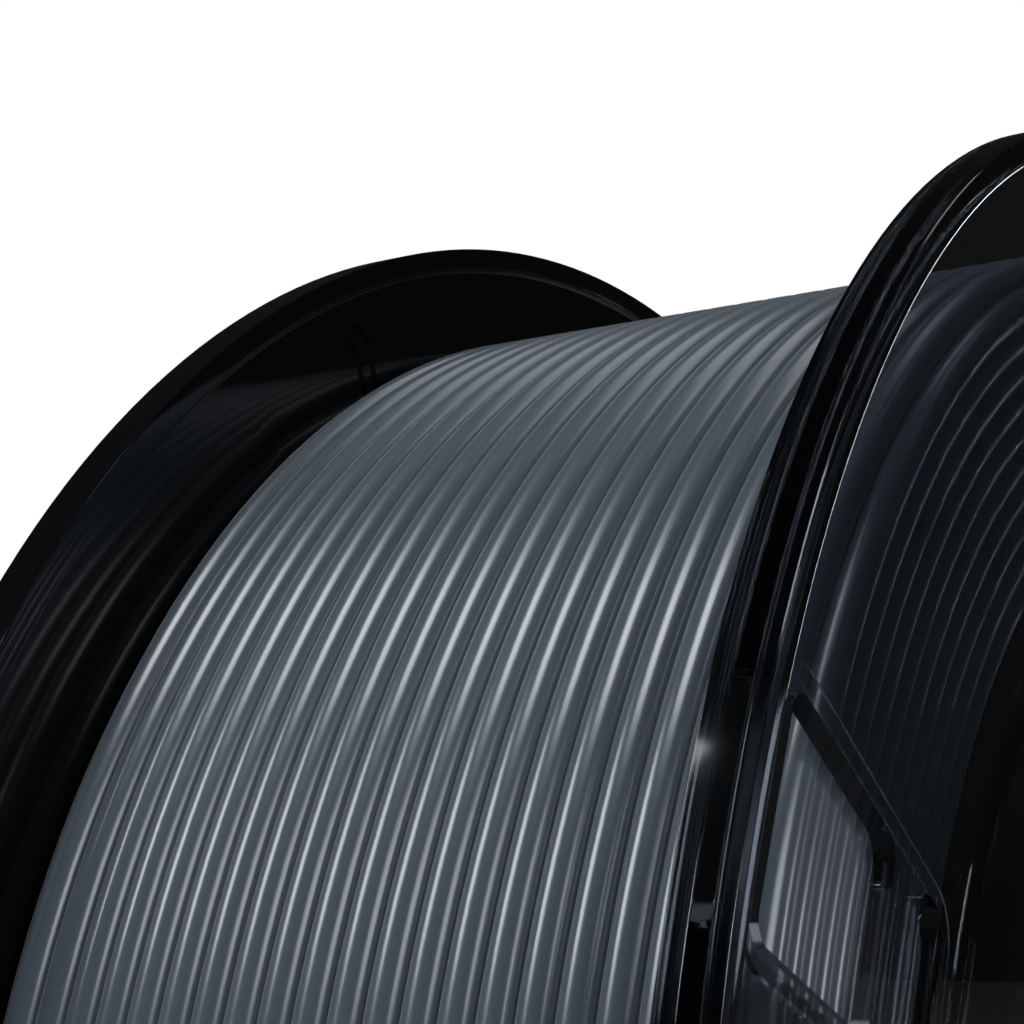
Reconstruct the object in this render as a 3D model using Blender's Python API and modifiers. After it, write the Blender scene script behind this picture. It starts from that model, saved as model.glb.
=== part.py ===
"""A spool of 2.85 mm printing filament: two moulded flanges, a drum, a hub tube and the wound strand.

The spool stands on its rims. Its axis is along Y through the origin, +Z is up, and the smoked
see-through flange, whose sight windows are open, is on the -Y side. The black flange's windows are
closed by a thin pane. Sizes are in metres.
"""
import math

import bmesh
import bpy
import numpy as np
from mathutils import Matrix, Vector

MM = 0.001

# Flanges. Depths are counted from the web's inner face, outwards along the axis.
FLANGE_RADIUS = 100.0 * MM
RIM_THICKNESS = 2.0 * MM
RIM_INWARD = 0.8 * MM  # how far the rim stands in from the web's inner face
RIM_OUTWARD = 2.2 * MM  # how far it stands out from the web's outer face
RIM_CHAMFER = 0.4 * MM
WEB_THICKNESS = 1.2 * MM
INNER_WIDTH = 62.0 * MM  # from web to web

# Sight windows: a slot crossed by a bridge, inside a raised frame. Its sides spread with the radius,
# and both lean a little from it.
WINDOW_COUNT = 4
WINDOW_WIDTH = 13.8 * MM  # at the middle of its length
WINDOW_LEAN = 5.5  # degrees
WINDOW_TO_RIM = 4.5 * MM
WINDOW_TO_DRUM = 2.3 * MM
WINDOW_CORNER = 1.6 * MM
BRIDGE_WIDTH = 4.5 * MM
BRIDGE_TO_DRUM = 8.55 * MM  # from the drum's outer side to the middle of the bridge
FRAME_WIDTH = 1.5 * MM
FRAME_HEIGHT = 0.35 * MM
PANE_THICKNESS = 0.6 * MM  # the far flange's windows are closed, level with the web's outer face
REBATE_DEPTH = 0.3 * MM  # a step round each closed window, in the web's inner face
NEAR_WINDOW_ANGLE = 157.1  # degrees from +X towards +Z
FAR_WINDOW_ANGLE = 122.5

# Drum and the ring on each flange that locates it.
DRUM_RADIUS = 66.2 * MM
DRUM_WALL = 2.2 * MM
LOCATING_RING_WALL = 2.0 * MM
LOCATING_RING_DEPTH = 6.0 * MM

# Hub: the bore takes a spool holder's spindle.
BORE_RADIUS = 26.0 * MM
HUB_WALL = 2.0 * MM
COLLAR_WALL = 3.0 * MM
COLLAR_DEPTH = 10.0 * MM
RECESS_RADIUS = 36.0 * MM
RECESS_DEPTH = 2.5 * MM  # below the web's outer face
RECESS_FLOOR = 1.8 * MM
RECESS_WALL = 1.5 * MM
SNAP_LIP = 1.4 * MM
SNAP_HEIGHT = 2.0 * MM
SNAP_EDGE = 0.5 * MM  # the lip's square edge, before its lead-in slope
SNAP_SLOT_WIDTH = 2.0 * MM
SNAP_SLOT_DEPTH = 14.0 * MM
SNAP_SLOT_PAIRS = 3
SNAP_SLOT_ANGLE = 11.0  # degrees from +X towards +Z
RIB_COUNT = 6
RIB_THICKNESS = 1.5 * MM
RIB_DEPTH = 5.0 * MM

# Filament. The wound form is drawn thinner than the strand, so that its turns stay apart.
FILAMENT_DIAMETER = 2.85 * MM
LAYER_SHARE = 0.721  # height of a layer as a share of the strand, bedded in the layer below
TURN_GAP = 0.45 * MM
FREE_EDGE = 7.5 * MM  # least height of bare flange between the winding and the rim's inner side
POINTS_PER_LOOP = 24
WINDING_ANGLE = 275.3  # where the outer layer starts, degrees from +X towards +Z
TAIL_ANGLE = 300.0  # where the strand's first end goes in through the drum
TAIL_FROM_RING = 3.5 * MM  # from the locating ring's end to the middle of the strand
TAIL_INWARD = 7.0 * MM
TAIL_BEND = 5.0 * MM
TAIL_ALONG = 9.0 * MM

CLEARANCE = 0.3 * MM  # between pieces that seat on each other
RIM_SIDES = 72
HUB_SIDES = 48
HOLE_SIDES = 16
CORNER_SEGMENTS = 3
TAIL_BEND_STEPS = 6
OVERCUT = 1.0 * MM

# Worked out from the sizes above.
rim_inner_radius = FLANGE_RADIUS - RIM_THICKNESS
drum_inner_radius = DRUM_RADIUS - DRUM_WALL
ring_radius = drum_inner_radius - CLEARANCE
hub_radius = BORE_RADIUS + HUB_WALL
collar_bore = hub_radius + CLEARANCE
web_inner = INNER_WIDTH / 2
web_outer = web_inner + WEB_THICKNESS
web_middle = (web_inner + web_outer) / 2
tail_y = web_inner - LOCATING_RING_DEPTH - TAIL_FROM_RING

layer_pitch = FILAMENT_DIAMETER * LAYER_SHARE
winding_base = DRUM_RADIUS + CLEARANCE
layer_count = 1 + math.floor(
    (rim_inner_radius - FREE_EDGE - winding_base - FILAMENT_DIAMETER) / layer_pitch
)
outer_turn_radius = winding_base + FILAMENT_DIAMETER / 2 + (layer_count - 1) * layer_pitch
winding_width = INNER_WIDTH - 2 * CLEARANCE
loop_count = math.floor((winding_width - FILAMENT_DIAMETER) / FILAMENT_DIAMETER)
winding_start = (FILAMENT_DIAMETER - winding_width) / 2  # against the near web
form_diameter = FILAMENT_DIAMETER - TURN_GAP
chord_radius = outer_turn_radius * math.cos(math.pi / POINTS_PER_LOOP)
core_radius = chord_radius - form_diameter / 2 - CLEARANCE


def clear_scene():
    for old in list(bpy.data.objects):
        bpy.data.objects.remove(old, do_unlink=True)
    for old in list(bpy.data.collections):
        bpy.data.collections.remove(old)


def new_collection(name):
    collection = bpy.data.collections.new(name)
    bpy.context.scene.collection.children.link(collection)
    return collection


def new_material(name, colour, roughness, alpha=1.0):
    material = bpy.data.materials.new(name)
    material.use_nodes = True
    shader = material.node_tree.nodes["Principled BSDF"]
    shader.inputs["Base Color"].default_value = (*colour, 1.0)
    shader.inputs["Roughness"].default_value = roughness
    shader.inputs["Metallic"].default_value = 0.0
    shader.inputs["Alpha"].default_value = alpha
    material.diffuse_color = (*colour, alpha)
    return material


def direction(degrees):
    """The unit vector at an angle round the spool's axis, from +X towards +Z."""
    angle = math.radians(degrees)
    return Vector((math.cos(angle), 0.0, math.sin(angle)))


def turned(name, profile, sides, outward):
    """A closed profile of (radius, height) points turned about Z, then laid along the spool's axis.

    Height points along -Y when outward is -1 and along +Y when it is 1. The sides are turned by half
    a step, so that a flat one lies at the bottom.
    """
    mesh = bpy.data.meshes.new(name)
    points = [(radius, 0.0, height) for radius, height in profile]
    edges = [(i, (i + 1) % len(points)) for i in range(len(points))]
    mesh.from_pydata(points, edges, [])
    obj = bpy.data.objects.new(name, mesh)
    parts.objects.link(obj)
    screw = obj.modifiers.new("Turn", "SCREW")
    screw.axis = "Z"
    screw.angle = math.tau
    screw.steps = sides
    screw.render_steps = sides
    screw.use_merge_vertices = True
    screw.merge_threshold = 0.01 * MM
    screw.use_smooth_shade = True
    obj.rotation_euler = (-outward * math.pi / 2, math.pi / sides, 0.0)
    obj.parent = spool_axis
    return obj


def as_cutter(obj):
    """Move a shape to the cutters, which only cut or join the parts."""
    for home in list(obj.users_collection):
        home.objects.unlink(obj)
    cutters.objects.link(obj)
    obj.hide_render = True
    obj.display_type = "WIRE"
    return obj


def block(name, radial, across, along, corner=0.0, spread_from=None):
    """A box whose sides are (from, to) pairs: out along the radius, across it, and along the axis.

    It lies on the radius at +X; turn_to moves it round the axis. With spread_from, the radius where it
    keeps its width, its sides spread with the radius and lean from it, as a window's do.
    """
    mesh = bpy.data.meshes.new(name)
    shape = bmesh.new()
    bmesh.ops.create_cube(shape, size=1.0)
    size = Vector((radial[1] - radial[0], along[1] - along[0], across[1] - across[0]))
    middle = Vector((sum(radial) / 2, sum(along) / 2, sum(across) / 2))
    bmesh.ops.transform(shape, matrix=Matrix.Diagonal((*size, 1.0)), verts=shape.verts)
    bmesh.ops.translate(shape, vec=middle, verts=shape.verts)
    if spread_from is not None:
        slope = math.tan(math.radians(WINDOW_LEAN))
        for vert in shape.verts:
            vert.co.z = vert.co.z * vert.co.x / spread_from - (vert.co.x - spread_from) * slope
    if corner > 0.0:
        upright = [
            edge
            for edge in shape.edges
            if abs(edge.verts[0].co.y - edge.verts[1].co.y) > 0.5 * size.y
        ]
        bmesh.ops.bevel(
            shape,
            geom=upright,
            offset=corner,
            segments=CORNER_SEGMENTS,
            profile=0.5,
            affect="EDGES",
            material=-1,
        )
    shape.to_mesh(mesh)
    shape.free()
    obj = bpy.data.objects.new(name, mesh)
    parts.objects.link(obj)
    obj.parent = spool_axis
    return obj


def turn_to(obj, degrees):
    obj.rotation_euler = (0.0, -math.radians(degrees), 0.0)
    return obj


def boolean(obj, tool, operation):
    step = obj.modifiers.new(tool.name, "BOOLEAN")
    step.operation = operation
    step.solver = "EXACT"
    step.object = tool


def flange(name, outward, window_angle, material, closed_windows):
    """One flange moulding, with its outer face towards outward (-1 or 1) along Y.

    Its windows are open, or closed by a pane with a rebate round it on the inner side.
    """
    rim_top = web_outer + RIM_OUTWARD
    rim_bottom = web_inner - RIM_INWARD
    recess_top = web_outer - RECESS_DEPTH
    recess_bottom = recess_top - RECESS_FLOOR
    profile = [
        (FLANGE_RADIUS - RIM_CHAMFER, rim_top),
        (FLANGE_RADIUS, rim_top - RIM_CHAMFER),
        (FLANGE_RADIUS, rim_bottom + RIM_CHAMFER),
        (FLANGE_RADIUS - RIM_CHAMFER, rim_bottom),
        (rim_inner_radius, rim_bottom),
        (rim_inner_radius, web_inner),
        (ring_radius, web_inner),
        (ring_radius, web_inner - LOCATING_RING_DEPTH),
        (ring_radius - LOCATING_RING_WALL, web_inner - LOCATING_RING_DEPTH),
        (ring_radius - LOCATING_RING_WALL, web_inner),
        (RECESS_RADIUS + RECESS_WALL, web_inner),
        (RECESS_RADIUS + RECESS_WALL, recess_bottom),
        (collar_bore + COLLAR_WALL, recess_bottom),
        (collar_bore + COLLAR_WALL, web_inner - COLLAR_DEPTH),
        (collar_bore, web_inner - COLLAR_DEPTH),
        (collar_bore, recess_top),
        (RECESS_RADIUS, recess_top),
        (RECESS_RADIUS, web_outer),
        (rim_inner_radius, web_outer),
        (rim_inner_radius, rim_top),
    ]
    obj = turned(name, profile, RIM_SIDES, outward)
    obj.data.materials.append(material)

    def along(low, high):
        return sorted((outward * low, outward * high))

    for i in range(RIB_COUNT):
        rib = block(
            f"{name}_rib_{i + 1}",
            (RECESS_RADIUS + RECESS_WALL / 2, ring_radius - LOCATING_RING_WALL / 2),
            (-RIB_THICKNESS / 2, RIB_THICKNESS / 2),
            along(web_inner - RIB_DEPTH, web_middle),
        )
        turn_to(as_cutter(rib), window_angle + (i + 0.5) * 360 / RIB_COUNT)
        boolean(obj, rib, "UNION")

    outer_end = rim_inner_radius - WINDOW_TO_RIM
    inner_end = DRUM_RADIUS + WINDOW_TO_DRUM
    bridge = DRUM_RADIUS + BRIDGE_TO_DRUM
    half_width = WINDOW_WIDTH / 2
    middle = (inner_end + outer_end) / 2
    frame_length = (inner_end - FRAME_WIDTH, outer_end + FRAME_WIDTH)
    frame_across = (-half_width - FRAME_WIDTH, half_width + FRAME_WIDTH)
    frame_corner = WINDOW_CORNER + FRAME_WIDTH
    above = web_outer + FRAME_HEIGHT + OVERCUT
    below = web_inner - OVERCUT
    cells = {
        "outer": (bridge + BRIDGE_WIDTH / 2, outer_end),
        "inner": (inner_end, bridge - BRIDGE_WIDTH / 2),
    }
    if closed_windows:
        cuts = {"front": (web_outer, above), "back": (below, web_outer - PANE_THICKNESS)}
    else:
        cuts = {"through": (below, above)}
    for i in range(WINDOW_COUNT):
        angle = window_angle + i * 360 / WINDOW_COUNT
        depth = along(web_middle, web_outer + FRAME_HEIGHT)
        frame = block(f"{name}_frame_{i + 1}", frame_length, frame_across, depth, frame_corner, middle)
        turn_to(as_cutter(frame), angle)
        boolean(obj, frame, "UNION")
        if closed_windows:
            depth = along(below, web_inner + REBATE_DEPTH)
            rebate = block(
                f"{name}_rebate_{i + 1}", frame_length, frame_across, depth, frame_corner, middle
            )
            turn_to(as_cutter(rebate), angle)
            boolean(obj, rebate, "DIFFERENCE")
        for cell_label, cell in cells.items():
            for cut_label, cut in cuts.items():
                window = block(
                    f"{name}_{cell_label}_window_{cut_label}_{i + 1}",
                    cell,
                    (-half_width, half_width),
                    along(*cut),
                    WINDOW_CORNER,
                    middle,
                )
                turn_to(as_cutter(window), angle)
                boolean(obj, window, "DIFFERENCE")
    return obj


def drum(material):
    """The barrel: a plain tube that sits over both locating rings, with a hole for the strand."""
    half = web_inner - CLEARANCE
    profile = [
        (DRUM_RADIUS, half),
        (DRUM_RADIUS, -half),
        (drum_inner_radius, -half),
        (drum_inner_radius, half),
    ]
    obj = turned("drum", profile, RIM_SIDES, 1)
    obj.data.materials.append(material)
    hole_radius = FILAMENT_DIAMETER / 2 + CLEARANCE
    bpy.ops.mesh.primitive_cylinder_add(
        vertices=HOLE_SIDES, radius=hole_radius, depth=DRUM_WALL + 4 * OVERCUT
    )
    hole = as_cutter(bpy.context.object)
    hole.name = "drum_strand_hole"
    hole.parent = spool_axis
    outwards = direction(TAIL_ANGLE)
    hole.location = outwards * (DRUM_RADIUS - DRUM_WALL / 2) + Vector((0.0, tail_y, 0.0))
    hole.rotation_euler = outwards.to_track_quat("Z", "Y").to_euler()
    boolean(obj, hole, "DIFFERENCE")
    return obj


def hub_tube(material):
    """The bore tube. Its split ends snap through the flanges' collars and hook into the recesses."""
    shoulder = web_outer - RECESS_DEPTH + CLEARANCE
    end = shoulder + SNAP_HEIGHT
    lip = collar_bore + SNAP_LIP
    profile = [
        (hub_radius, end),
        (lip, shoulder + SNAP_EDGE),
        (lip, shoulder),
        (hub_radius, shoulder),
        (hub_radius, -shoulder),
        (lip, -shoulder),
        (lip, -shoulder - SNAP_EDGE),
        (hub_radius, -end),
        (BORE_RADIUS, -end),
        (BORE_RADIUS, end),
    ]
    obj = turned("hub_tube", profile, HUB_SIDES, 1)
    obj.data.materials.append(material)
    for side, label in ((-1, "near"), (1, "far")):
        for i in range(SNAP_SLOT_PAIRS):
            slot = block(
                f"hub_{label}_slot_{i + 1}",
                (-lip - OVERCUT, lip + OVERCUT),
                (-SNAP_SLOT_WIDTH / 2, SNAP_SLOT_WIDTH / 2),
                sorted((side * (end - SNAP_SLOT_DEPTH), side * (end + OVERCUT))),
            )
            turn_to(as_cutter(slot), SNAP_SLOT_ANGLE + i * 180 / SNAP_SLOT_PAIRS)
            boolean(obj, slot, "DIFFERENCE")
    return obj


def inner_layers(material):
    """The layers under the outermost one, as one plain ring round the drum."""
    half = winding_width / 2
    profile = [
        (core_radius, half),
        (core_radius, -half),
        (winding_base, -half),
        (winding_base, half),
    ]
    obj = turned("filament_inner_layers", profile, RIM_SIDES, 1)
    obj.data.materials.append(material)
    return obj


def tube(name, points, diameter, material):
    """A round strand along points, with closed flat ends, as a curve object."""
    curve = bpy.data.curves.new(name, "CURVE")
    curve.dimensions = "3D"
    curve.bevel_depth = diameter / 2
    curve.bevel_resolution = 1
    curve.use_fill_caps = True
    spline = curve.splines.new("POLY")
    spline.points.add(len(points) - 1)
    for spot, point in zip(spline.points, points):
        spot.co = (*point, 1.0)
    curve.materials.append(material)
    obj = bpy.data.objects.new(name, curve)
    parts.objects.link(obj)
    obj.parent = spool_axis
    return obj


def outer_layer_points():
    """The winding's middle line: one helix on the last layer's radius, straight at both ends."""
    steps = loop_count * POINTS_PER_LOOP
    points = []
    for i in range(steps + 1):
        spot = direction(WINDING_ANGLE + 360 * i / POINTS_PER_LOOP) * outer_turn_radius
        spot.y = winding_start + FILAMENT_DIAMETER * i / POINTS_PER_LOOP
        points.append(spot)
    lead_in = (points[0] - points[1]).normalized() * form_diameter
    lead_out = (points[-1] - points[-2]).normalized() * form_diameter
    return [points[0] + lead_in] + points + [points[-1] + lead_out]


def least_gap(points, diameter):
    """The smallest gap between two stretches of the winding that aren't next to each other."""
    spots = np.array([tuple(point) for point in points])
    apart = np.linalg.norm(spots[:, None] - spots[None], axis=2)
    index = np.arange(len(spots))
    far_along = np.abs(index[:, None] - index[None]) > POINTS_PER_LOOP // 2
    return float(apart[far_along].min()) - diameter


def start_tail_points():
    """From the drum's outer face in through its hole, then bent over along the axis."""
    outwards = direction(TAIL_ANGLE)
    along = Vector((0.0, -1.0, 0.0))
    start = outwards * DRUM_RADIUS + Vector((0.0, tail_y, 0.0))
    corner = start - outwards * TAIL_INWARD
    points = [start, start - outwards * form_diameter, corner]
    centre = corner + along * TAIL_BEND
    for i in range(1, TAIL_BEND_STEPS + 1):
        angle = math.pi / 2 * i / TAIL_BEND_STEPS
        points.append(
            centre - along * TAIL_BEND * math.cos(angle) - outwards * TAIL_BEND * math.sin(angle)
        )
    points.append(points[-1] + along * TAIL_ALONG)
    return points


clear_scene()
parts = new_collection("filament_spool")
cutters = new_collection("cutters")
spool_axis = bpy.data.objects.new("spool_axis", None)
parts.objects.link(spool_axis)

black_plastic = new_material("black_plastic", (0.006, 0.006, 0.007), 0.18)
smoked_plastic = new_material("smoked_plastic", (0.012, 0.013, 0.015), 0.12, alpha=0.65)
hub_plastic = new_material("hub_plastic", (0.008, 0.008, 0.009), 0.3)
filament_plastic = new_material("steel_grey_filament", (0.105, 0.13, 0.155), 0.32)

flange("near_flange", -1, NEAR_WINDOW_ANGLE, smoked_plastic, closed_windows=False)
flange("far_flange", 1, FAR_WINDOW_ANGLE, black_plastic, closed_windows=True)
drum(black_plastic)
hub_tube(hub_plastic)
inner_layers(filament_plastic)
winding = outer_layer_points()
tube("filament_outer_layer", winding, form_diameter, filament_plastic)
tube("filament_start_tail", start_tail_points(), form_diameter, filament_plastic)

gap = least_gap(winding, form_diameter)
print(f"outer layer: {loop_count} loops, {layer_count} layers in all, least gap {gap / MM:.3f} mm")
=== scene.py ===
import math

import bmesh
import bpy
from mathutils import Matrix, Vector


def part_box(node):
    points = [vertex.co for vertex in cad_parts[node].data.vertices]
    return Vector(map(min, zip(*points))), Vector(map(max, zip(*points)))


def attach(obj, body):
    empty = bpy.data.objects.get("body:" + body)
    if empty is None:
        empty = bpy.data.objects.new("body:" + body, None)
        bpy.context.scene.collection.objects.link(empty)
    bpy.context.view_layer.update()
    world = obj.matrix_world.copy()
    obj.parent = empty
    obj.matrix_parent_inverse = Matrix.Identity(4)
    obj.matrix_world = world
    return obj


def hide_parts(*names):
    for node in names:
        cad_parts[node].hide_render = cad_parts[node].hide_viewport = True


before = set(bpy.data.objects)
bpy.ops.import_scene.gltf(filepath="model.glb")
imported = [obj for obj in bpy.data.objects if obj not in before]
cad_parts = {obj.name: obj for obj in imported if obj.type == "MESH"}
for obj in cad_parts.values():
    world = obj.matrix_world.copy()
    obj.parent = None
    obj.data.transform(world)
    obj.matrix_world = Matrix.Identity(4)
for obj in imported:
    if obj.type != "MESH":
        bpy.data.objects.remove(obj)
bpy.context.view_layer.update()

scene = bpy.context.scene
scene.view_settings.view_transform = "Standard"


# Camera: close to the winding, on the smoked flange's side, a little above the axis and looking
# up along the spool, so that both rims run out of the picture.
MM = 0.001
VIEW_PLACE = Vector((-196.3, -87.0, 32.5)) * MM
VIEW_HEADING = -56.77
VIEW_RISE = 10.16
PHOTO_SIZE = 1024
PHOTO_FOCAL = 2131.7

view = bpy.data.cameras.new("view")
view.sensor_width = 36.0
view.lens = PHOTO_FOCAL / PHOTO_SIZE * view.sensor_width
view.clip_start = 5 * MM
camera = bpy.data.objects.new("camera", view)
camera.location = VIEW_PLACE
camera.rotation_euler = (math.radians(90 + VIEW_RISE), 0.0, math.radians(VIEW_HEADING))
scene.collection.objects.link(camera)
scene.camera = camera


# Far flange: a moulded disc of glossy black plastic with a raised rim, four bridged sight windows in
# raised frames, closed by a thin pane, and a ring that locates the drum. Its sunk middle has a collar
# for the hub, held by six ribs.
far_low, far_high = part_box("far_flange")
RIM_RADIUS = far_high.x
RIM_FACE = far_high.y
RIM_THICKNESS = 2.0 * MM
RIM_WIDTH = 4.2 * MM
WEB_FACE = RIM_FACE - 2.2 * MM
WEB_BACK = WEB_FACE - 1.2 * MM
WEB_MIDDLE = (WEB_FACE + WEB_BACK) / 2
RING_RADIUS = 63.7 * MM
RING_WALL = 2.0 * MM
RING_END = WEB_BACK - 6.0 * MM
COLLAR_BORE = 28.3 * MM
COLLAR_WALL = 3.0 * MM
COLLAR_END = far_low.y
RECESS_RADIUS = 36.0 * MM
RECESS_WALL = 1.5 * MM
RECESS_TOP = WEB_FACE - 2.5 * MM
RECESS_BACK = RECESS_TOP - 1.8 * MM
FILLET = 0.8 * MM
SMALL_FILLET = FILLET * 0.7
EDGE = 0.25 * MM
RIM_EDGE = EDGE * 0.7
WINDOW_COUNT = 4
WINDOW_WIDTH = 13.8 * MM
WINDOW_LEAN = 5.5
WINDOW_ENDS = (68.5 * MM, 93.5 * MM)
WINDOW_CORNER = 1.6 * MM
BRIDGE = (72.5 * MM, 77.0 * MM)
FRAME_WIDTH = 1.5 * MM
FRAME_HEIGHT = 0.35 * MM
PANE = 0.6 * MM
REBATE_DEPTH = 0.3 * MM
RIB_COUNT = 6
RIB_WALL = 1.5 * MM
RIB_DEPTH = 5.0 * MM
CUT_OVER = 3.0 * MM
FAR_WINDOW_ANGLE = 122.5
TURN_STEPS = 240
CORNER_STEPS = 6
FILLET_STEPS = 4
EDGE_STEPS = 2
MOULDING_IOR = 1.49
BLACK_TONES = ((0.0035, 0.0036, 0.004, 1.0), (0.006, 0.006, 0.0066, 1.0))


def new_piece(name, shape):
    """An object that holds a finished bmesh."""
    mesh = bpy.data.meshes.new(name)
    shape.to_mesh(mesh)
    shape.free()
    piece = bpy.data.objects.new(name, mesh)
    scene.collection.objects.link(piece)
    return piece


def spun(profile, steps):
    """A closed profile of (radius, place along the axis, rounding) points, spun about Y.

    The corners are then rounded, the largest first.
    """
    near = 0.01 * MM
    even = 0.0001 * MM
    shape = bmesh.new()
    corners = [shape.verts.new((radius, along, 0.0)) for radius, along, _ in profile]
    for first, second in zip(corners, corners[1:] + corners[:1]):
        shape.edges.new((first, second))
    bmesh.ops.spin(
        shape,
        geom=shape.verts[:] + shape.edges[:],
        cent=(0, 0, 0),
        axis=(0, 1, 0),
        angle=math.tau,
        steps=steps,
        use_merge=True,
    )
    bmesh.ops.remove_doubles(shape, verts=shape.verts, dist=0.001 * MM)
    bmesh.ops.recalc_face_normals(shape, faces=shape.faces)
    layer = shape.edges.layers.float.new("rounding")
    for edge in shape.edges:
        start, end = (vert.co for vert in edge.verts)
        edge_radius = Vector((start.x, start.z)).length
        drift = abs(edge_radius - Vector((end.x, end.z)).length)
        if drift >= near or abs(start.y - end.y) >= near:
            continue
        for radius, along, rounding in profile:
            if abs(edge_radius - radius) < near and abs(start.y - along) < near:
                edge[layer] = rounding
    for rounding in sorted({r for _, _, r in profile if r > 0}, reverse=True):
        bmesh.ops.bevel(
            shape,
            geom=[edge for edge in shape.edges if abs(edge[layer] - rounding) < even],
            offset=rounding,
            segments=FILLET_STEPS if rounding > EDGE else EDGE_STEPS,
            profile=0.5,
            affect="EDGES",
            material=-1,
        )
    return shape


def add_block(shape, radial, across, along, degrees, corner=0.0, spread_from=None):
    """A box laid on the radius at an angle from +X towards +Z, its corners rounded in plan.

    With spread_from, its sides spread with the radius and lean from it, as a window's do.
    """
    made = bmesh.ops.create_cube(shape, size=1.0)["verts"]
    size = Vector((radial[1] - radial[0], along[1] - along[0], across[1] - across[0]))
    middle = Vector((sum(radial), sum(along), sum(across))) / 2
    bmesh.ops.scale(shape, vec=size, verts=made)
    bmesh.ops.translate(shape, vec=middle, verts=made)
    if spread_from is not None:
        slope = math.tan(math.radians(WINDOW_LEAN))
        for vert in made:
            vert.co.z = vert.co.z * vert.co.x / spread_from - (vert.co.x - spread_from) * slope
    turn = Matrix.Rotation(-math.radians(degrees), 3, "Y")
    bmesh.ops.rotate(shape, cent=(0, 0, 0), matrix=turn, verts=made)
    if corner > 0:
        upright = {
            edge
            for vert in made
            for edge in vert.link_edges
            if abs(edge.verts[0].co.y - edge.verts[1].co.y) > size.y / 2
        }
        bmesh.ops.bevel(
            shape,
            geom=list(upright),
            offset=corner,
            segments=CORNER_STEPS,
            profile=0.5,
            affect="EDGES",
            material=-1,
        )


def settle(piece):
    """Make a piece's modifiers part of its mesh."""
    bpy.context.view_layer.update()
    graph = bpy.context.evaluated_depsgraph_get()
    mesh = bpy.data.meshes.new_from_object(piece.evaluated_get(graph))
    piece.modifiers.clear()
    old = piece.data
    piece.data = mesh
    bpy.data.meshes.remove(old)


def cut_with(piece, shape, operation):
    """Join or cut a piece with the blocks in a bmesh."""
    tool = new_piece("tool", shape)
    step = piece.modifiers.new("step", "BOOLEAN")
    step.operation = operation
    step.solver = "EXACT"
    step.object = tool
    settle(piece)
    bpy.data.objects.remove(tool)


def smooth(piece, degrees=32):
    """Smooth shading that keeps flat faces flat beside their small roundings."""
    piece.data.shade_smooth()
    piece.data.set_sharp_from_angle(angle=math.radians(degrees))
    normals = piece.modifiers.new("Normals", "WEIGHTED_NORMAL")
    normals.keep_sharp = True


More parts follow.
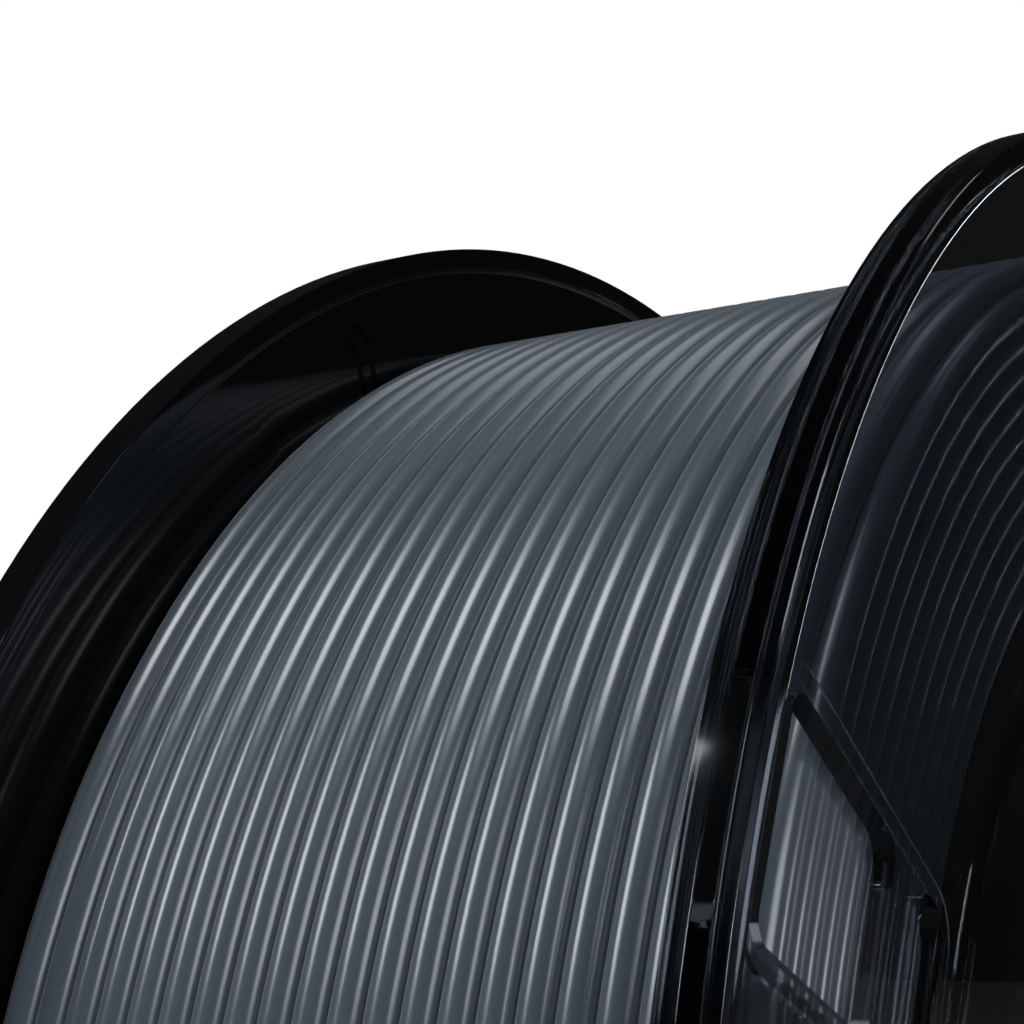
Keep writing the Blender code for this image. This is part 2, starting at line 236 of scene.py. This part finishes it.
def flange(name, outward, window_angle, closed_windows):
    """One flange moulding with its outer face towards outward, 1 or -1, along Y."""
    profile = [
        (RIM_RADIUS, RIM_FACE, RIM_EDGE),
        (RIM_RADIUS, RIM_FACE - RIM_WIDTH, RIM_EDGE),
        (RIM_RADIUS - RIM_THICKNESS, RIM_FACE - RIM_WIDTH, EDGE),
        (RIM_RADIUS - RIM_THICKNESS, WEB_BACK, SMALL_FILLET),
        (RING_RADIUS, WEB_BACK, SMALL_FILLET),
        (RING_RADIUS, RING_END, EDGE),
        (RING_RADIUS - RING_WALL, RING_END, EDGE),
        (RING_RADIUS - RING_WALL, WEB_BACK, SMALL_FILLET),
        (RECESS_RADIUS + RECESS_WALL, WEB_BACK, SMALL_FILLET),
        (RECESS_RADIUS + RECESS_WALL, RECESS_BACK, EDGE),
        (COLLAR_BORE + COLLAR_WALL, RECESS_BACK, SMALL_FILLET),
        (COLLAR_BORE + COLLAR_WALL, COLLAR_END, EDGE),
        (COLLAR_BORE, COLLAR_END, EDGE),
        (COLLAR_BORE, RECESS_TOP, EDGE),
        (RECESS_RADIUS, RECESS_TOP, SMALL_FILLET),
        (RECESS_RADIUS, WEB_FACE, EDGE),
        (RIM_RADIUS - RIM_THICKNESS, WEB_FACE, FILLET),
        (RIM_RADIUS - RIM_THICKNESS, RIM_FACE, RIM_EDGE),
    ]
    disc = spun([(radius, outward * y, rounding) for radius, y, rounding in profile], TURN_STEPS)
    piece = new_piece(name, disc)

    def depth(low, high):
        return sorted((outward * low, outward * high))

    added = bmesh.new()
    rib_length = (RECESS_RADIUS + RECESS_WALL / 2, RING_RADIUS - RING_WALL / 2)
    rib_across = (-RIB_WALL / 2, RIB_WALL / 2)
    rib_depth = depth(WEB_BACK - RIB_DEPTH, WEB_MIDDLE)
    for i in range(RIB_COUNT):
        add_block(added, rib_length, rib_across, rib_depth, window_angle + (i + 0.5) * 360 / RIB_COUNT)

    above = WEB_FACE + CUT_OVER
    below = WEB_BACK - CUT_OVER
    cuts = [(below, WEB_FACE - PANE), (WEB_FACE, above)] if closed_windows else [(below, above)]
    half = WINDOW_WIDTH / 2
    middle = sum(WINDOW_ENDS) / 2
    frame_length = (WINDOW_ENDS[0] - FRAME_WIDTH, WINDOW_ENDS[1] + FRAME_WIDTH)
    frame_across = (-half - FRAME_WIDTH, half + FRAME_WIDTH)
    frame_corner = WINDOW_CORNER + FRAME_WIDTH
    frame_depth = depth(WEB_MIDDLE, WEB_FACE + FRAME_HEIGHT)
    rebate_depth = depth(below, WEB_BACK + REBATE_DEPTH)
    windows = bmesh.new()
    rebates = bmesh.new()
    for i in range(WINDOW_COUNT):
        angle = window_angle + i * 360 / WINDOW_COUNT
        add_block(added, frame_length, frame_across, frame_depth, angle, frame_corner, middle)
        add_block(rebates, frame_length, frame_across, rebate_depth, angle, frame_corner, middle)
        for cell in ((WINDOW_ENDS[0], BRIDGE[0]), (BRIDGE[1], WINDOW_ENDS[1])):
            for cut in cuts:
                add_block(windows, cell, (-half, half), depth(*cut), angle, WINDOW_CORNER, middle)
    cut_with(piece, added, "UNION")
    if closed_windows:
        cut_with(piece, rebates, "DIFFERENCE")
    cut_with(piece, windows, "DIFFERENCE")
    smooth(piece)
    return piece


class Wire:
    """A socket in a node tree. Arithmetic on it adds Math nodes."""

    def __init__(self, tree, socket=None):
        self.tree = tree
        self.socket = socket

    def node(self, kind, settings=None, values=None, output=0):
        """Add any node: its settings first, then the values or links of its sockets."""
        made = self.tree.nodes.new(kind)
        for name, value in (settings or {}).items():
            setattr(made, name, value)
        for name, value in (values or {}).items():
            if isinstance(value, Wire):
                self.tree.links.new(value.socket, made.inputs[name])
            else:
                made.inputs[name].default_value = value
        return Wire(self.tree, made.outputs[output] if made.outputs else None)

    def out(self, output):
        """Another output of the same node."""
        return Wire(self.tree, self.socket.node.outputs[output])

    def maths(self, operation, first, second=0.0):
        return self.node("ShaderNodeMath", {"operation": operation}, {0: first, 1: second})

    def __add__(self, other):
        return self.maths("ADD", self, other)

    def __radd__(self, other):
        return self.maths("ADD", other, self)

    def __sub__(self, other):
        return self.maths("SUBTRACT", self, other)

    def __rsub__(self, other):
        return self.maths("SUBTRACT", other, self)

    def __mul__(self, other):
        return self.maths("MULTIPLY", self, other)

    def __rmul__(self, other):
        return self.maths("MULTIPLY", other, self)

    def __truediv__(self, other):
        return self.maths("DIVIDE", self, other)

    def __rtruediv__(self, other):
        return self.maths("DIVIDE", other, self)

    def __pow__(self, other):
        return self.maths("POWER", self, other)

    def __rpow__(self, other):
        return self.maths("POWER", other, self)

    def clamped(self):
        return self.node("ShaderNodeClamp", None, {"Value": self})

    def ranged(self, low, high):
        """0 below low, 1 above high and even between them."""
        return self.node(
            "ShaderNodeMapRange", None, {"Value": self, "From Min": low, "From Max": high}
        )

    def noise(self, place, scale, detail=2.0, roughness=0.5):
        return self.node(
            "ShaderNodeTexNoise",
            {"noise_dimensions": "3D"},
            {"Vector": place, "Scale": scale, "Detail": detail, "Roughness": roughness},
        )

    def mixed(self, factor, first, second):
        """A colour between two, by a factor. Sockets 6 and 7 are the node's two colours."""
        return self.node(
            "ShaderNodeMix",
            {"data_type": "RGBA"},
            {"Factor": factor, 6: first, 7: second},
            output=2,
        )

    def bump(self, height, strength, distance):
        return self.node(
            "ShaderNodeBump", None, {"Strength": strength, "Distance": distance, "Height": height}
        )


def new_material(name):
    """An empty node material, with a Wire to its tree."""
    material = bpy.data.materials.new(name)
    material.use_nodes = True
    material.node_tree.nodes.clear()
    return material, Wire(material.node_tree)


def finish_material(tree, surface):
    tree.node("ShaderNodeOutputMaterial", None, {"Surface": surface})


def object_place(tree):
    return tree.node("ShaderNodeTexCoord", output="Object")


def black_plastic():
    """Polished black moulding: faint flow marks in the gloss and fine handling scuffs."""
    material, tree = new_material("black_plastic")
    place = object_place(tree)
    haze = tree.noise(place, 90.0, 3.0)
    flow = tree.noise(place, 35.0, 1.0)
    scuffs = (tree.noise(place, 900.0, 4.0, 0.7) - 0.62).clamped() * 2.0
    surface = tree.node(
        "ShaderNodeBsdfPrincipled",
        None,
        {
            "Base Color": tree.mixed(haze, *BLACK_TONES),
            "Roughness": 0.05 + haze * 0.04 + scuffs * 0.25,
            "IOR": MOULDING_IOR,
            "Normal": tree.bump(flow, 0.02, 0.4 * MM),
        },
    )
    finish_material(tree, surface)
    return material


black = black_plastic()
far_flange = flange("far_flange_moulding", 1, FAR_WINDOW_ANGLE, closed_windows=True)
far_flange.data.materials.append(black)
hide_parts("far_flange")
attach(far_flange, "root")


# Hub tube: a moulded tube of satin black plastic whose split ends snap through both flanges' collars
# and hold them together. A spool holder's spindle passes through it.
hub_low, hub_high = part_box("hub_tube")
HUB_END = hub_high.y
HUB_BORE = 26.0 * MM
HUB_RADIUS = 28.0 * MM
HUB_STEPS = 180
SNAP_LIP = 29.65 * MM
SNAP_SHOULDER = HUB_END - 2.0 * MM
SNAP_EDGE = 0.5 * MM
SNAP_ROUNDING = EDGE * 0.5
SLOT_COUNT = 6
SLOT_WIDTH = 2.0 * MM
SLOT_DEPTH = 14.0 * MM
SLOT_OVER = 2.0 * MM
SLOT_ANGLE = 11.0
HUB_TONES = ((0.008, 0.008, 0.009, 1.0), (0.013, 0.013, 0.014, 1.0))


def hub_tube():
    half = [
        (HUB_RADIUS, HUB_END, EDGE),
        (SNAP_LIP, SNAP_SHOULDER + SNAP_EDGE, SNAP_ROUNDING),
        (SNAP_LIP, SNAP_SHOULDER, SNAP_ROUNDING),
        (HUB_RADIUS, SNAP_SHOULDER, 0.0),
    ]
    other = [(radius, -along, rounding) for radius, along, rounding in reversed(half)]
    bore = [(HUB_BORE, -HUB_END, EDGE), (HUB_BORE, HUB_END, EDGE)]
    piece = new_piece("hub_tube_snap", spun(half + other + bore, HUB_STEPS))
    slots = bmesh.new()
    slot_length = (HUB_BORE - 2 * SLOT_OVER, SNAP_LIP + SLOT_OVER)
    slot_across = (-SLOT_WIDTH / 2, SLOT_WIDTH / 2)
    for side in (-1, 1):
        slot_along = sorted((side * (HUB_END - SLOT_DEPTH), side * (HUB_END + SLOT_OVER)))
        for i in range(SLOT_COUNT):
            add_block(slots, slot_length, slot_across, slot_along, SLOT_ANGLE + i * 360 / SLOT_COUNT)
    cut_with(piece, slots, "DIFFERENCE")
    smooth(piece)
    return piece


def hub_plastic():
    """Satin black moulding with a fine spark-eroded grain."""
    material, tree = new_material("hub_plastic")
    place = object_place(tree)
    grain = tree.noise(place, 2600.0, 3.0, 0.6)
    patches = tree.noise(place, 60.0, 2.0)
    surface = tree.node(
        "ShaderNodeBsdfPrincipled",
        None,
        {
            "Base Color": tree.mixed(patches, *HUB_TONES),
            "Roughness": 0.3 + patches * 0.15,
            "IOR": MOULDING_IOR,
            "Normal": tree.bump(grain, 0.12, 0.05 * MM),
        },
    )
    finish_material(tree, surface)
    return material


hub = hub_tube()
hub.data.materials.append(hub_plastic())
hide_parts("hub_tube")
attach(hub, "root")


# Drum: a plain barrel of the far flange's black plastic, pushed over both flanges' locating rings.
# It carries the winding, and has a hole for the strand's first end.
drum_low, drum_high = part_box("drum")
DRUM_RADIUS = drum_high.x
DRUM_WALL = 2.2 * MM
DRUM_END = drum_high.y
HOLE_RADIUS = 1.725 * MM
HOLE_LENGTH = 6.0 * MM
HOLE_SIDES = 32
TAIL_ANGLE = 300.0
TAIL_PLACE = WEB_BACK - 9.5 * MM


def spoke(degrees):
    """The unit vector at an angle round the spool's axis, from +X towards +Z."""
    return Vector((math.cos(math.radians(degrees)), 0.0, math.sin(math.radians(degrees))))


def drum():
    profile = [
        (DRUM_RADIUS, DRUM_END, EDGE),
        (DRUM_RADIUS, -DRUM_END, EDGE),
        (DRUM_RADIUS - DRUM_WALL, -DRUM_END, EDGE),
        (DRUM_RADIUS - DRUM_WALL, DRUM_END, EDGE),
    ]
    piece = new_piece("drum_barrel", spun(profile, TURN_STEPS))
    hole = bmesh.new()
    bmesh.ops.create_cone(
        hole,
        cap_ends=True,
        segments=HOLE_SIDES,
        radius1=HOLE_RADIUS,
        radius2=HOLE_RADIUS,
        depth=HOLE_LENGTH,
    )
    turn = spoke(TAIL_ANGLE).to_track_quat("Z", "Y").to_matrix()
    bmesh.ops.rotate(hole, cent=(0, 0, 0), matrix=turn, verts=hole.verts)
    centre = spoke(TAIL_ANGLE) * (DRUM_RADIUS - DRUM_WALL / 2) + Vector((0, TAIL_PLACE, 0))
    bmesh.ops.translate(hole, vec=centre, verts=hole.verts)
    cut_with(piece, hole, "DIFFERENCE")
    smooth(piece)
    return piece


barrel = drum()
barrel.data.materials.append(black)
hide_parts("drum")
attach(barrel, "root")


# Inner layers: ten wound layers of steel grey strand under the outermost one. Only their last turns
# show, through the windows and the smoked flange, as ridges that lie side by side.
core_low, core_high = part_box("filament_inner_layers")
STRAND = 2.85 * MM
LAYER_PITCH = STRAND * 0.721
LAYERS_UNDER = 10
OUTER_TURN_RADIUS = 88.47 * MM
END_TURN = core_high.y - STRAND / 2
FIRST_RIDGE_START = -90
LAST_RIDGE_END = 88
RIDGE_STEPS = 10
CORE_STEPS = 200
WINDING_ANGLE = 275.3
WINDING_START = -END_TURN
STRAND_TONES = ((0.105, 0.133, 0.161, 1.0), (0.135, 0.168, 0.200, 1.0))


def inner_layers():
    """One spun body with a half-round ridge for each layer's end turn."""
    step = math.degrees(math.asin(LAYER_PITCH / STRAND))
    ridges = []
    for layer in range(LAYERS_UNDER):
        outermost = layer == LAYERS_UNDER - 1
        middle = OUTER_TURN_RADIUS - (LAYERS_UNDER - layer) * LAYER_PITCH
        first = FIRST_RIDGE_START if layer == 0 else -step
        last = LAST_RIDGE_END if outermost else step
        for i in range(RIDGE_STEPS + 1 if outermost else RIDGE_STEPS):
            angle = math.radians(first + (last - first) * i / RIDGE_STEPS)
            radius = middle + STRAND / 2 * math.sin(angle)
            ridges.append((radius, END_TURN + STRAND / 2 * math.cos(angle), 0.0))
    other = [(radius, -along, rounding) for radius, along, rounding in reversed(ridges)]
    piece = new_piece("inner_layer_turns", spun(ridges + other, CORE_STEPS))
    smooth(piece)
    return piece


def round_axis(tree, place):
    """The place along the spool's axis, the radius from it and the angle round it."""
    x = tree.node("ShaderNodeSeparateXYZ", None, {"Vector": place})
    z = x.out("Z")
    return x.out("Y"), (x * x + z * z) ** 0.5, tree.maths("ARCTAN2", z, x)


def filament():
    """Extruded strand, silky steel grey: hairline draw marks along it and a slow drift of tone."""
    material, tree = new_material("steel_grey_filament")
    y, radius, angle = round_axis(tree, object_place(tree))
    wound = (y - WINDING_START) / STRAND - (angle / math.tau - WINDING_ANGLE / 360)
    across = tree.maths("FRACT", wound + 0.5) - 0.5
    turn = wound - across
    drawn = tree.node(
        "ShaderNodeCombineXYZ", None, {0: radius * 9000.0, 1: across * 26.0, 2: angle * 3.0}
    )
    length = tree.node("ShaderNodeCombineXYZ", None, {0: turn, 1: angle * 0.8, 2: radius * 300.0})
    lines = tree.noise(drawn, 1.0, 2.0)
    tone = tree.noise(length, 1.3, 2.0)
    surface = tree.node(
        "ShaderNodeBsdfPrincipled",
        None,
        {
            "Base Color": tree.mixed(tone, *STRAND_TONES),
            "Roughness": 0.20 + lines * 0.08,
            "IOR": 1.9,
            "Sheen Weight": 0.6,
            "Sheen Roughness": 0.3,
            "Normal": tree.bump(lines, 0.05, 0.05 * MM),
        },
    )
    finish_material(tree, surface)
    return material


strand_finish = filament()
core = inner_layers()
core.data.materials.append(strand_finish)
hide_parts("filament_inner_layers")
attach(core, "root")


# Outer layer: the same strand, wound in one unbroken helix of touching turns from the smoked flange
# to the black one. Both of its ends are cut clean.
LOOPS = 20
LOOP_STEPS = 192
STRAND_SIDES = 18
STRAND_SHARP = 50


def outer_layer():
    """One turn is spun with its rise, copied along the axis, and the copies are merged."""
    shape = bmesh.new()
    circle = bmesh.ops.create_circle(
        shape, cap_ends=False, radius=STRAND / 2, segments=STRAND_SIDES
    )
    centre = (OUTER_TURN_RADIUS, WINDING_START, 0)
    bmesh.ops.translate(shape, vec=centre, verts=circle["verts"])
    start = Matrix.Rotation(-math.radians(WINDING_ANGLE), 3, "Y")
    bmesh.ops.rotate(shape, cent=(0, 0, 0), matrix=start, verts=shape.verts)
    bmesh.ops.spin(
        shape,
        geom=shape.verts[:] + shape.edges[:],
        cent=(0, 0, 0),
        axis=(0, -1, 0),
        dvec=(0, STRAND / LOOP_STEPS, 0),
        angle=math.tau,
        steps=LOOP_STEPS,
        use_merge=False,
    )
    turn = shape.verts[:] + shape.edges[:] + shape.faces[:]
    for i in range(1, LOOPS):
        copy = bmesh.ops.duplicate(shape, geom=turn)["geom"]
        verts = [part for part in copy if isinstance(part, bmesh.types.BMVert)]
        bmesh.ops.translate(shape, vec=(0, STRAND * i, 0), verts=verts)
    bmesh.ops.remove_doubles(shape, verts=shape.verts, dist=0.002 * MM)
    open_ends = [edge for edge in shape.edges if edge.is_boundary]
    bmesh.ops.holes_fill(shape, edges=open_ends, sides=0)
    bmesh.ops.recalc_face_normals(shape, faces=shape.faces)
    piece = new_piece("outer_layer_strand", shape)
    smooth(piece, STRAND_SHARP)
    return piece


winding = outer_layer()
winding.data.materials.append(strand_finish)
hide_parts("filament_outer_layer")
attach(winding, "root")


# Start tail: the strand's first end, pushed in through the drum's hole and bent over inside,
# which keeps the winding from slipping round the drum.
TAIL_INWARD = 7.0 * MM
TAIL_BEND = 5.0 * MM
TAIL_ALONG = 9.0 * MM
TAIL_RADIUS = STRAND * 0.42
TAIL_STEPS = 12


def start_tail():
    outwards = spoke(TAIL_ANGLE)
    along = Vector((0.0, -1.0, 0.0))
    start = outwards * DRUM_RADIUS + Vector((0.0, TAIL_PLACE, 0.0))
    corner = start - outwards * TAIL_INWARD
    points = [start, corner]
    centre = corner + along * TAIL_BEND
    for i in range(1, TAIL_STEPS + 1):
        angle = math.pi / 2 * i / TAIL_STEPS
        towards = along * math.cos(angle) + outwards * math.sin(angle)
        points.append(centre - towards * TAIL_BEND)
    points.append(points[-1] + along * TAIL_ALONG)
    curve = bpy.data.curves.new("start_tail_strand", "CURVE")
    curve.dimensions = "3D"
    curve.bevel_depth = TAIL_RADIUS
    curve.bevel_resolution = 4
    curve.use_fill_caps = True
    line = curve.splines.new("POLY")
    line.points.add(len(points) - 1)
    for spot, point in zip(line.points, points):
        spot.co = (*point, 1.0)
    piece = bpy.data.objects.new("start_tail_strand", curve)
    scene.collection.objects.link(piece)
    return piece


tail = start_tail()
tail.data.materials.append(strand_finish)
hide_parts("filament_start_tail")
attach(tail, "root")


# Near flange: the far flange's moulding in smoked see-through plastic, with its windows open and
# turned so that one of them shows the ends of the layers. It snaps onto the hub tube last.
NEAR_WINDOW_ANGLE = 157.1
SMOKE_TONES = ((0.33, 0.36, 0.39, 1.0), (0.37, 0.40, 0.43, 1.0))
RIM_SMOKE = (0.030, 0.034, 0.040, 1.0)
SMOKE_SHADE = (0.30, 0.31, 0.33, 1.0)
FULL_SHADE = (0.0, 0.0, 0.0, 1.0)


def smoked_plastic():
    """Clear plastic with a dark smoke tint, darkest in the thick rim.

    It lets part of the light through the faces that the light meets squarely, and none along the
    walls of the windows.
    """
    material, tree = new_material("smoked_plastic")
    place = object_place(tree)
    _, radius, _ = round_axis(tree, place)
    haze = tree.noise(place, 90.0, 3.0)
    flow = tree.noise(place, 35.0, 1.0)
    rim = radius.ranged(RIM_RADIUS - 1.2 * RIM_THICKNESS, RIM_RADIUS - RIM_THICKNESS)
    body = tree.node(
        "ShaderNodeBsdfPrincipled",
        None,
        {
            "Base Color": tree.mixed(rim, tree.mixed(haze, *SMOKE_TONES), RIM_SMOKE),
            "Roughness": 0.02 + rim * 0.05,
            "IOR": MOULDING_IOR,
            "Specular IOR Level": 0.2,
            "Transmission Weight": 1.0,
            "Normal": tree.bump(flow, 0.015, 0.4 * MM),
        },
    )
    squarely = 1.0 - tree.node("ShaderNodeLayerWeight", None, {"Blend": 0.5}, output="Facing")
    stopped = tree.node("ShaderNodeBsdfTransparent", None, {"Color": FULL_SHADE})
    passed = tree.node("ShaderNodeBsdfTransparent", None, {"Color": SMOKE_SHADE})
    clear = squarely.ranged(0.6, 0.95)
    shade = tree.node("ShaderNodeMixShader", None, {0: clear, 1: stopped, 2: passed})
    shadow = tree.node("ShaderNodeLightPath", output="Is Shadow Ray")
    finish_material(tree, tree.node("ShaderNodeMixShader", None, {0: shadow, 1: body, 2: shade}))
    return material


near_flange = flange("near_flange_moulding", -1, NEAR_WINDOW_ANGLE, closed_windows=False)
near_flange.data.materials.append(smoked_plastic())
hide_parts("near_flange")
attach(near_flange, "root")


# Floor: a plain pale sheet just under the rims, on which the spool stands in a dark studio.
# It isn't part of the spool.
FLOOR_GAP = 0.2 * MM
FLOOR_REACH = 3.0
FLOOR_COLOUR = (0.82, 0.82, 0.82, 1.0)


def pale_floor():
    material, tree = new_material("pale_floor")
    values = {"Base Color": FLOOR_COLOUR, "Roughness": 0.6}
    finish_material(tree, tree.node("ShaderNodeBsdfPrincipled", None, values))
    return material


floor_shape = bmesh.new()
bmesh.ops.create_grid(floor_shape, x_segments=1, y_segments=1, size=FLOOR_REACH)
bmesh.ops.translate(floor_shape, vec=(0, 0, far_low.z - FLOOR_GAP), verts=floor_shape.verts)
floor = new_piece("floor", floor_shape)
floor.data.materials.append(pale_floor())


# Lamps: soft boxes that face the middle of the winding. The first three light its left and its
# crown, the next three the ends of the layers and the smoked flange, the last the top.
LIT_SPOT = Vector((-70.0, 0.0, 50.0)) * MM
LAMP_COLOUR = (0.9, 0.95, 1.0)


def soft_box(name, heading, rise, distance, size, level):
    """A flat lamp that faces the lit spot, of an even brightness; its size is (across, along).

    Its heading from the spot is counted from +X towards +Y, and its rise from the floor.
    """
    lamp = bpy.data.lights.new(name, "AREA")
    lamp.shape = "RECTANGLE"
    lamp.size, lamp.size_y = size
    lamp.energy = level * math.pi * size[0] * size[1]
    lamp.color = LAMP_COLOUR
    holder = bpy.data.objects.new(name, lamp)
    turn, up = math.radians(heading), math.radians(rise)
    towards = Vector((math.cos(up) * math.cos(turn), math.cos(up) * math.sin(turn), math.sin(up)))
    holder.location = LIT_SPOT + distance * towards
    holder.rotation_euler = towards.to_track_quat("Z", "Y").to_euler()
    scene.collection.objects.link(holder)


soft_box("key_light", 184, 68, 1.0, (0.46, 0.32), 6.0)
soft_box("key_glow", 142, 75, 1.0, (0.30, 0.20), 1.8)
soft_box("far_light", 128, 34, 1.0, (0.34, 0.38), 6.0)
soft_box("near_light", -115, 26, 1.0, (0.5, 0.32), 3.4)
soft_box("side_light", -57, 3, 1.0, (0.26, 0.09), 6.0)
soft_box("end_light", -9, 8, 1.0, (0.12, 0.20), 10.0)
soft_box("top_light", -14, 64, 1.2, (0.9, 0.3), 1.1)


# Surround: white wherever the camera looks. A white card of the picture's size stands behind the
# spool, for its gloss and its clear plastic to show, and the rest of the studio is dark.
CARD_HEADING = (0.8234, 0.5394, 0.1763)
CARD_EDGE = 10.0
CARD_FULL = 7.0
CARD_GLOSS = 0.2
STUDIO_LEVEL = 0.035
MIRRORED_LEVEL = 0.012

world = bpy.data.worlds.new("surround")
world.use_nodes = True
world.node_tree.nodes.clear()
scene.world = world
sky = Wire(world.node_tree)
seen = sky.node("ShaderNodeLightPath", output="Is Camera Ray")
through = seen.out("Is Transmission Ray")
glossy = seen.out("Is Glossy Ray")
towards = sky.node("ShaderNodeTexCoord", output="Generated")
behind = sky.node(
    "ShaderNodeVectorMath",
    {"operation": "DOT_PRODUCT"},
    {0: towards, 1: CARD_HEADING},
    output="Value",
)
card = behind.ranged(math.cos(math.radians(CARD_EDGE)), math.cos(math.radians(CARD_FULL)))
clear = (glossy + through).clamped()
dark = STUDIO_LEVEL + clear * (MIRRORED_LEVEL - STUDIO_LEVEL)
white = (seen + (through + glossy * CARD_GLOSS) * card).clamped()
strength = dark + white * (1.0 - dark)
background = sky.node("ShaderNodeBackground", None, {"Color": (1, 1, 1, 1), "Strength": strength})
sky.node("ShaderNodeOutputWorld", None, {"Surface": background})
